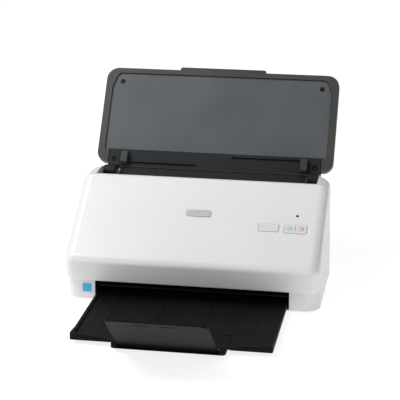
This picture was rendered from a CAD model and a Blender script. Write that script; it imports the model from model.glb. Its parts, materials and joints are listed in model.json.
"""Looks for the desktop document scanner: materials, fine detail, studio light and camera."""
import json
import math

import bmesh
import bpy
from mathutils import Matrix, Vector

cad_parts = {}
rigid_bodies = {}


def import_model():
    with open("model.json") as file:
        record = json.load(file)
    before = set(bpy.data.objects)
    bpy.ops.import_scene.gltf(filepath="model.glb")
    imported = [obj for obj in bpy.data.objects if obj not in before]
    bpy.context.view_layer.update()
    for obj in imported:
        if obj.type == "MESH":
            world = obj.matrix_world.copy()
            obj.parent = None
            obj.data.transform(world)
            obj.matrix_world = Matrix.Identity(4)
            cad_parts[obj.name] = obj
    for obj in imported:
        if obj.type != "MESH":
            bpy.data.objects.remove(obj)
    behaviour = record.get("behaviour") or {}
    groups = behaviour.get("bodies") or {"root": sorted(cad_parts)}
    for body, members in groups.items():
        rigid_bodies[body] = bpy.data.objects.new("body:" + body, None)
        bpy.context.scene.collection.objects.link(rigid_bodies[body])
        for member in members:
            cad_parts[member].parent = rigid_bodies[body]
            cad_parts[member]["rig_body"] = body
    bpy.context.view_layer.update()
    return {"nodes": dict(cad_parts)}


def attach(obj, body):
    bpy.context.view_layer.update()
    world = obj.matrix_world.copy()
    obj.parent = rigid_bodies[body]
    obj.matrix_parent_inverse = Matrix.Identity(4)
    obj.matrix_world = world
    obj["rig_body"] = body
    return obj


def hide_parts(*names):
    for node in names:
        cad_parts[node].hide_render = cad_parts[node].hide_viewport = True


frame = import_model()
nodes = frame["nodes"]

MM = 0.001
# The door's slope: the middle of its lower edge, in metres, and its angle from level.
SLOPE_FOOT = Vector((0.0, -0.0295309, 0.0562))
SLOPE_ANGLE = 0.5770259

# Places of the marks on the scan button, in mm: across the slope, up it and out of it.
MARK_ROW = 60.8
MARK_LOW = 0.4
MARK_EDGE = 0.02
LOZENGE_X = 110.0
BAR_X = (116.5, 117.1)
BAR_REACH = 3.4
RING_X = 123.6

# Copies of the CAD nodes: how close corners are joined, and the angle above which an edge stays sharp.
WELD = 1e-7
SMOOTH_ANGLE = math.radians(32)

# The studio: lengths in metres, light power in watts, focal length in mm.
FLOOR_REACH = 40.0
FLOOR_GLOW = 0.82
WORLD_STRENGTH = 0.44
LIGHT_AIM = Vector((0.0, 0.0, 0.1))
LIGHTS = (
    ("key", (-0.75, -0.12, 1.12), 0.7, 11.5),
    ("front", (-0.5, -2.8, 0.6), 1.5, 13.0),
    ("back", (0.1, 1.5, 2.2), 1.6, 2.0),
)
CAMERA_PLACE = (0.29499, -1.67208, 0.67397)
CAMERA_AIM = Vector((0.00468, 0.01789, 0.12006))
FOCAL_LENGTH = 138.9


# ---------------------------------------------------------------- node helpers

def new_material(name):
    material = bpy.data.materials.new(name)
    material.use_nodes = True
    return material, material.node_tree.nodes, material.node_tree.links


def object_noise(nodes_, links, scale, detail=3.0, stretch=None, roughness=0.5):
    """Noise over the object's own space, in metres, optionally stretched along an axis."""
    where = nodes_.new("ShaderNodeTexCoord")
    noise = nodes_.new("ShaderNodeTexNoise")
    noise.inputs["Scale"].default_value = scale
    noise.inputs["Detail"].default_value = detail
    noise.inputs["Roughness"].default_value = roughness
    if stretch:
        mapping = nodes_.new("ShaderNodeMapping")
        mapping.inputs["Scale"].default_value = stretch
        links.new(where.outputs["Object"], mapping.inputs["Vector"])
        links.new(mapping.outputs["Vector"], noise.inputs["Vector"])
    else:
        links.new(where.outputs["Object"], noise.inputs["Vector"])
    return noise.outputs["Fac"]


def map_range(nodes_, links, value, low, high, from_low=0.3, from_high=0.7):
    node = nodes_.new("ShaderNodeMapRange")
    node.inputs["From Min"].default_value = from_low
    node.inputs["From Max"].default_value = from_high
    node.inputs["To Min"].default_value = low
    node.inputs["To Max"].default_value = high
    links.new(value, node.inputs["Value"])
    return node.outputs["Result"]


def ramp(nodes_, links, value, low, high, at=(0.3, 0.7)):
    node = nodes_.new("ShaderNodeValToRGB")
    node.color_ramp.elements[0].position = at[0]
    node.color_ramp.elements[0].color = (*low, 1.0)
    node.color_ramp.elements[1].position = at[1]
    node.color_ramp.elements[1].color = (*high, 1.0)
    links.new(value, node.inputs["Fac"])
    return node.outputs["Color"]


def bump(nodes_, links, height, strength, distance, below=None):
    node = nodes_.new("ShaderNodeBump")
    node.inputs["Strength"].default_value = strength
    node.inputs["Distance"].default_value = distance
    links.new(height, node.inputs["Height"])
    if below:
        links.new(below, node.inputs["Normal"])
    return node.outputs["Normal"]


def soft_edge(nodes_, radius):
    node = nodes_.new("ShaderNodeBevel")
    node.samples = 4
    node.inputs["Radius"].default_value = radius
    return node.outputs["Normal"]


def moulded(name, low, high, rough, grain, depth, coat=0.0, edge=0.0004, specular=0.5):
    """Moulded plastic: slight tone drift, spark-eroded grain and softened edges."""
    material, n, links = new_material(name)
    shader = n["Principled BSDF"]
    shader.inputs["Specular IOR Level"].default_value = specular
    shader.inputs["Coat Weight"].default_value = coat
    shader.inputs["Coat Roughness"].default_value = 0.12
    links.new(ramp(n, links, object_noise(n, links, 14.0, 2.0), low, high), shader.inputs["Base Color"])
    mottle = object_noise(n, links, grain * 0.35, 4.0)
    links.new(map_range(n, links, mottle, rough[0], rough[1]), shader.inputs["Roughness"])
    fine = object_noise(n, links, grain, 5.0, roughness=0.62)
    normal = bump(n, links, fine, 1.0, depth, soft_edge(n, edge) if edge else None)
    links.new(normal, shader.inputs["Normal"])
    return material


def metal(name, low, high, rough, stretch, scale=900.0, depth=0.00001):
    """Machined or brushed metal, with its lines along the short axis of the stretch."""
    material, n, links = new_material(name)
    shader = n["Principled BSDF"]
    shader.inputs["Metallic"].default_value = 1.0
    lines = object_noise(n, links, scale, 3.0, stretch)
    links.new(ramp(n, links, lines, low, high), shader.inputs["Base Color"])
    links.new(map_range(n, links, lines, rough[0], rough[1]), shader.inputs["Roughness"])
    links.new(bump(n, links, lines, 0.6, depth, soft_edge(n, 0.0002)), shader.inputs["Normal"])
    return material


def rubber(name):
    """Black rubber with a dull, uneven skin."""
    material, n, links = new_material(name)
    shader = n["Principled BSDF"]
    shader.inputs["Specular IOR Level"].default_value = 0.3
    shader.inputs["Sheen Weight"].default_value = 0.15
    tone = object_noise(n, links, 120.0, 4.0)
    links.new(ramp(n, links, tone, (0.018, 0.018, 0.019), (0.032, 0.032, 0.033)), shader.inputs["Base Color"])
    links.new(map_range(n, links, tone, 0.72, 0.9), shader.inputs["Roughness"])
    grain = object_noise(n, links, 2600.0, 3.0)
    links.new(bump(n, links, grain, 0.8, 0.00003), shader.inputs["Normal"])
    return material


def clear_glass(name):
    """Clear glass with faint wiping smears."""
    material, n, links = new_material(name)
    shader = n["Principled BSDF"]
    shader.inputs["Base Color"].default_value = (0.86, 0.93, 0.92, 1.0)
    shader.inputs["Transmission Weight"].default_value = 1.0
    shader.inputs["IOR"].default_value = 1.5
    smear = object_noise(n, links, 60.0, 4.0, (1.0, 6.0, 6.0))
    links.new(map_range(n, links, smear, 0.01, 0.05), shader.inputs["Roughness"])
    return material


def lens_material(name):
    """A smoked, polished plastic lens."""
    material, n, links = new_material(name)
    shader = n["Principled BSDF"]
    shader.inputs["IOR"].default_value = 1.49
    shader.inputs["Coat Weight"].default_value = 0.6
    tone = object_noise(n, links, 500.0, 2.0)
    links.new(ramp(n, links, tone, (0.02, 0.022, 0.024), (0.045, 0.05, 0.055)), shader.inputs["Base Color"])
    links.new(map_range(n, links, tone, 0.06, 0.14), shader.inputs["Roughness"])
    return material


def board_material(name):
    """Green solder mask with copper runs below it and tinned pads."""
    material, n, links = new_material(name)
    shader = n["Principled BSDF"]
    where = n.new("ShaderNodeTexCoord")
    runs = n.new("ShaderNodeTexBrick")
    runs.inputs["Scale"].default_value = 120.0
    runs.inputs["Mortar Size"].default_value = 0.012
    runs.inputs["Color1"].default_value = (0.008, 0.075, 0.03, 1.0)
    runs.inputs["Color2"].default_value = (0.01, 0.09, 0.036, 1.0)
    runs.inputs["Mortar"].default_value = (0.03, 0.17, 0.07, 1.0)
    links.new(where.outputs["Object"], runs.inputs["Vector"])
    pads = n.new("ShaderNodeTexVoronoi")
    pads.inputs["Scale"].default_value = 260.0
    links.new(where.outputs["Object"], pads.inputs["Vector"])
    spot = map_range(n, links, pads.outputs["Distance"], 1.0, 0.0, 0.16, 0.2)
    mix = n.new("ShaderNodeMix")
    mix.data_type = "RGBA"
    links.new(spot, mix.inputs["Factor"])
    links.new(runs.outputs["Color"], mix.inputs["A"])
    mix.inputs["B"].default_value = (0.62, 0.6, 0.55, 1.0)
    links.new(mix.outputs["Result"], shader.inputs["Base Color"])
    links.new(spot, shader.inputs["Metallic"])
    links.new(map_range(n, links, object_noise(n, links, 300.0), 0.25, 0.4), shader.inputs["Roughness"])
    links.new(bump(n, links, spot, 0.5, 0.00005), shader.inputs["Normal"])
    return material


def film(name, low, high, rough=(0.3, 0.42)):
    """Printed film: a faint halftone over a plain colour."""
    material, n, links = new_material(name)
    shader = n["Principled BSDF"]
    where = n.new("ShaderNodeTexCoord")
    dots = n.new("ShaderNodeTexVoronoi")
    dots.inputs["Scale"].default_value = 1400.0
    links.new(where.outputs["Object"], dots.inputs["Vector"])
    links.new(ramp(n, links, dots.outputs["Distance"], low, high, (0.1, 0.6)), shader.inputs["Base Color"])
    links.new(map_range(n, links, object_noise(n, links, 400.0), *rough), shader.inputs["Roughness"])
    links.new(bump(n, links, dots.outputs["Distance"], 0.2, 0.00001), shader.inputs["Normal"])
    return material


# ---------------------------------------------------------------- finishes

white = moulded("shell_white", (0.735, 0.735, 0.73), (0.76, 0.76, 0.755), (0.27, 0.34), 1500.0, 0.000008, 0.2,
                0.0006)
case_white = moulded("case_white", (0.70, 0.70, 0.695), (0.725, 0.725, 0.72), (0.3, 0.38), 1700.0, 0.000015, 0.1,
                     0.0005)
button_white = moulded("button_white", (0.67, 0.67, 0.665), (0.695, 0.695, 0.69), (0.3, 0.38), 1800.0, 0.00001,
                       0.1, 0.0004)
slate = moulded("panel_slate", (0.068, 0.078, 0.083), (0.086, 0.097, 0.102), (0.42, 0.55), 2200.0, 0.00004,
                specular=0.3)
arm_grey = moulded("arm_grey", (0.012, 0.013, 0.015), (0.018, 0.019, 0.021), (0.42, 0.55), 2200.0, 0.00004,
                   specular=0.18)
guide_grey = moulded("guide_grey", (0.035, 0.037, 0.04), (0.048, 0.051, 0.054), (0.4, 0.5), 2000.0, 0.00003,
                     specular=0.25)
rim_dark = moulded("rim_dark", (0.038, 0.038, 0.037), (0.052, 0.051, 0.049), (0.4, 0.52), 2200.0, 0.00004,
                   specular=0.3)
tray_black = moulded("tray_black", (0.005, 0.005, 0.006), (0.008, 0.008, 0.009), (0.5, 0.6), 2200.0, 0.00004,
                     specular=0.07)
inner_black = moulded("inner_black", (0.006, 0.006, 0.006), (0.010, 0.010, 0.010), (0.5, 0.62), 2400.0, 0.00004,
                      specular=0.2)
base_black = moulded("base_dark", (0.03, 0.03, 0.031), (0.045, 0.045, 0.046), (0.5, 0.62), 2000.0, 0.00005)
screw_black = metal("screw_black", (0.01, 0.01, 0.01), (0.03, 0.03, 0.03), (0.4, 0.55), (1.0, 1.0, 1.0))
acetal = moulded("acetal", (0.62, 0.60, 0.53), (0.7, 0.68, 0.61), (0.35, 0.48), 1500.0, 0.00001)
rubber_black = rubber("rubber_black")
bright_steel = metal("bright_steel", (0.5, 0.5, 0.51), (0.68, 0.68, 0.69), (0.22, 0.36), (0.05, 1.0, 1.0))
plate_metal = metal("plate_metal", (0.52, 0.53, 0.55), (0.62, 0.63, 0.65), (0.3, 0.42), (0.03, 1.0, 1.0), 1500.0)
motor_steel = metal("motor_steel", (0.36, 0.36, 0.37), (0.5, 0.5, 0.51), (0.32, 0.48), (1.0, 0.1, 0.1))
port_metal = metal("port_metal", (0.55, 0.55, 0.56), (0.7, 0.7, 0.71), (0.25, 0.4), (1.0, 0.08, 1.0))
glass = clear_glass("sensor_glass")
board_green = board_material("board_green")
label_blue = film("label_blue", (0.02, 0.30, 0.66), (0.05, 0.42, 0.80))
smoked_lens = lens_material("smoked_lens")

FINISH = {
    "front_cover": white,
    "rear_case": case_white,
    "cancel_button": button_white, "scan_button": button_white,
    "status_lens": smoked_lens,
    "name_plate": plate_metal,
    "label_patch": label_blue,
    "tray_shell": rim_dark, "tray_panel": slate, "tray_ramp": arm_grey,
    "hinge_arm_left": arm_grey, "hinge_arm_right": arm_grey,
    "tray_extension": rim_dark,
    "paper_guide_left": guide_grey, "paper_guide_right": guide_grey,
    "output_tray": tray_black, "output_extension": tray_black, "stop_flap": tray_black,
    "door_frame": inner_black, "lower_chassis": inner_black, "feed_table": arm_grey,
    "front_scan_module": inner_black, "rear_scan_module": inner_black,
    "base_plate": base_black,
    "front_glass": glass, "rear_glass": glass,
    "control_board": board_green, "main_board": board_green,
    "tray_screw_top_left": screw_black, "tray_screw_top_right": screw_black,
    "tray_screw_arm_left": screw_black, "tray_screw_arm_right": screw_black,
    "motor": motor_steel, "usb_port": port_metal, "power_jack": inner_black,
}
GEAR_NODES = ("motor_pinion", "feed_gear", "pick_gear", "idler_gear", "exit_gear", "guide_pinion")
RUBBER_NODES = ("pick_roller", "separation_roller", "feed_roller", "exit_roller", "feed_idler", "exit_idler",
                "foot_front_left", "foot_front_right", "foot_rear_left", "foot_rear_right")


def dress():
    """Give every CAD node its finish; what isn't named otherwise is steel."""
    for name, node in nodes.items():
        finish = FINISH.get(name, bright_steel)
        if name in GEAR_NODES:
            finish = acetal
        if name in RUBBER_NODES:
            finish = rubber_black
        node.data.materials.clear()
        node.data.materials.append(finish)


# ---------------------------------------------------------------- smooth skins

SMOOTHED = (
    "rear_case", "front_cover", "cancel_button", "scan_button", "status_lens", "name_plate",
    "tray_shell", "tray_panel", "tray_ramp", "hinge_arm_left", "hinge_arm_right", "tray_extension",
    "paper_guide_left", "paper_guide_right", "output_tray", "output_extension", "stop_flap",
    "tray_screw_top_left", "tray_screw_top_right", "tray_screw_arm_left", "tray_screw_arm_right",
    "pick_roller", "pick_shaft", "separation_roller", "separation_shaft", "feed_roller", "exit_roller",
    "feed_idler", "exit_idler", "motor", "feed_table", "door_frame", "lower_chassis",
)


def smooth_skins():
    """A welded copy of each moulded or turned node, so that its curved faces shade as one surface."""
    for name in SMOOTHED:
        node = nodes[name]
        shape = bmesh.new()
        corners = [shape.verts.new(v.co) for v in node.data.vertices]
        for face in node.data.polygons:
            shape.faces.new([corners[i] for i in face.vertices])
        bmesh.ops.remove_doubles(shape, verts=shape.verts, dist=WELD)
        data = bpy.data.meshes.new(f"{name}_skin")
        shape.to_mesh(data)
        shape.free()
        data.polygons.foreach_set("use_smooth", [True] * len(data.polygons))
        data.set_sharp_from_angle(angle=SMOOTH_ANGLE)
        data.materials.append(node.data.materials[0])
        skin = bpy.data.objects.new(f"{name}_skin", data)
        bpy.context.scene.collection.objects.link(skin)
        weighted = skin.modifiers.new("weighted_normals", "WEIGHTED_NORMAL")
        weighted.keep_sharp = True
        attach(skin, node["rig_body"])
        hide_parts(name)


# ---------------------------------------------------------------- piece helpers

def slope_point(x, t, n):
    """A point on the door's slope: x across, t up the slope, n out of it, all in mm."""
    up = Vector((0.0, math.cos(SLOPE_ANGLE), math.sin(SLOPE_ANGLE)))
    out = Vector((0.0, -math.sin(SLOPE_ANGLE), math.cos(SLOPE_ANGLE)))
    return SLOPE_FOOT + Vector((x * MM, 0.0, 0.0)) + up * (t * MM) + out * (n * MM)


def mark(name, outline, high, finish):
    """A closed inlay over an outline on the slope, its top edge rounded over, riding on the scan button."""
    shape = bmesh.new()
    bottom = [shape.verts.new(slope_point(a, b, MARK_LOW)) for a, b in outline]
    top = [shape.verts.new(slope_point(a, b, high)) for a, b in outline]
    count = len(outline)
    shape.faces.new(list(reversed(bottom)))
    lid = shape.faces.new(top)
    for i in range(count):
        j = (i + 1) % count
        shape.faces.new((bottom[i], bottom[j], top[j], top[i]))
    bmesh.ops.recalc_face_normals(shape, faces=shape.faces)
    bmesh.ops.bevel(shape, geom=list(lid.edges), offset=MARK_EDGE * MM, segments=2, profile=0.5, affect="EDGES")
    data = bpy.data.meshes.new(f"scan_mark_{name}")
    shape.to_mesh(data)
    shape.free()
    data.materials.append(finish)
    data.polygons.foreach_set("use_smooth", [True] * len(data.polygons))
    data.set_sharp_from_angle(angle=math.radians(40))
    piece = bpy.data.objects.new(f"scan_mark_{name}", data)
    bpy.context.scene.collection.objects.link(piece)
    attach(piece, "scan_button")


def disc(centre, radius, sides=32):
    return [(centre[0] + radius * math.cos(math.tau * i / sides), centre[1] + radius * math.sin(math.tau * i / sides))
            for i in range(sides)]


# ---------------------------------------------------------------- detail pieces

def button_marks():
    """Plain inlaid marks on the scan button: a lozenge outline, a bar, and a ring with a dot."""
    teal = film("mark_teal", (0.04, 0.24, 0.33), (0.07, 0.31, 0.40))
    red = film("mark_red", (0.55, 0.16, 0.10), (0.66, 0.22, 0.15))
    grey = film("mark_grey", (0.10, 0.11, 0.12), (0.14, 0.15, 0.16))
    for name, reach, high, finish in (("lozenge", 3.2, 0.54, teal), ("lozenge_middle", 2.2, 0.56, button_white)):
        outline = [(LOZENGE_X - reach, MARK_ROW), (LOZENGE_X, MARK_ROW - reach), (LOZENGE_X + reach, MARK_ROW),
                   (LOZENGE_X, MARK_ROW + reach)]
        mark(name, outline, high, finish)
    left, right = BAR_X
    low, high = MARK_ROW - BAR_REACH, MARK_ROW + BAR_REACH
    mark("bar", [(left, low), (right, low), (right, high), (left, high)], 0.55, grey)
    for name, radius, high, finish in (("ring", 3.4, 0.54, red), ("ring_middle", 2.6, 0.56, button_white),
                                       ("dot", 1.1, 0.58, red)):
        mark(name, disc((RING_X, MARK_ROW), radius), high, finish)


def studio():
    """Pale floor, soft light from above at the left and from the front, and the camera."""
    data = bpy.data.meshes.new("floor")
    reach = FLOOR_REACH
    data.from_pydata([(-reach, -reach, 0), (reach, -reach, 0), (reach, reach, 0), (-reach, reach, 0)], [],
                     [(0, 1, 2, 3)])
    floor = bpy.data.objects.new("floor", data)
    material, n, links = new_material("floor_pale")
    shader = n["Principled BSDF"]
    shader.inputs["Specular IOR Level"].default_value = 0.0
    links.new(ramp(n, links, object_noise(n, links, 1.5), (0.36, 0.36, 0.36), (0.37, 0.37, 0.37)),
              shader.inputs["Base Color"])
    shader.inputs["Roughness"].default_value = 0.9
    shader.inputs["Emission Color"].default_value = (1.0, 1.0, 1.0, 1.0)
    shader.inputs["Emission Strength"].default_value = FLOOR_GLOW
    data.materials.append(material)
    bpy.context.scene.collection.objects.link(floor)

    world = bpy.data.worlds.new("studio")
    world.use_nodes = True
    world.node_tree.nodes["Background"].inputs["Color"].default_value = (1.0, 1.0, 1.0, 1.0)
    world.node_tree.nodes["Background"].inputs["Strength"].default_value = WORLD_STRENGTH
    bpy.context.scene.world = world

    for name, place, size, power in LIGHTS:
        light = bpy.data.lights.new(name, "AREA")
        light.shape = "SQUARE"
        light.size = size
        light.energy = power
        lamp = bpy.data.objects.new(name, light)
        lamp.location = place
        lamp.rotation_euler = (LIGHT_AIM - Vector(place)).to_track_quat("-Z", "Y").to_euler()
        bpy.context.scene.collection.objects.link(lamp)

    lens = bpy.data.cameras.new("camera")
    lens.lens = FOCAL_LENGTH
    lens.sensor_width = 36.0
    lens.clip_end = 50.0
    camera = bpy.data.objects.new("camera", lens)
    camera.location = CAMERA_PLACE
    camera.rotation_euler = (CAMERA_AIM - camera.location).to_track_quat("-Z", "Y").to_euler()
    bpy.context.scene.collection.objects.link(camera)
    bpy.context.scene.camera = camera
    bpy.context.scene.view_settings.view_transform = "Standard"


dress()
smooth_skins()
button_marks()
studio()
